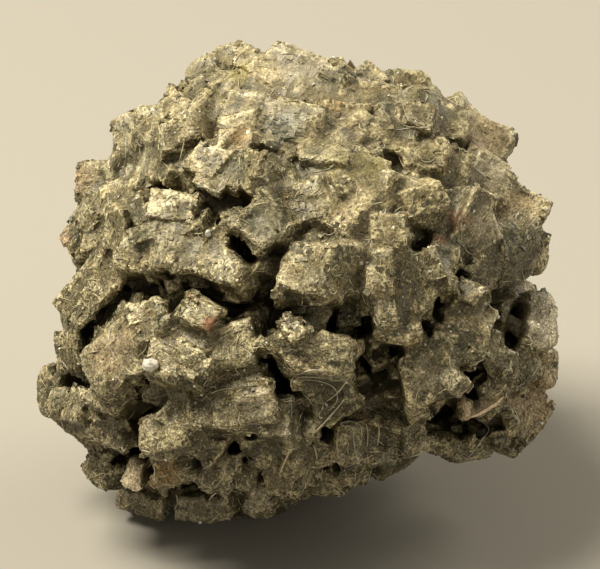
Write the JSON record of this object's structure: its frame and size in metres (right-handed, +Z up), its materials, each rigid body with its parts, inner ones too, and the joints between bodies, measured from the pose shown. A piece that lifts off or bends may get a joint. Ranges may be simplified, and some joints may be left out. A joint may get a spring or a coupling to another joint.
{
  "type": "native arsenic specimen",
  "caption": "Ball of native arsenic: intergrown, nearly cubic crystals with deep pits between them, tarnished dark grey, olive and tan.",
  "frame": {"origin": "middle of the base, at the height of the level cuts that the ball rests on", "axes": "+Z up; +X to the right as seen from the side that the picture shows, which faces -Y"},
  "size_m": [0.02, 0.0206, 0.0187],
  "materials": {
    "tarnished_arsenic": "dull, dusty tarnish over granular grey metal, with a faint metallic sparkle"
  },
  "bodies": {
    "root": {"arsenic_crystal_cluster": "tarnished_arsenic"}
  },
  "joints": []
}
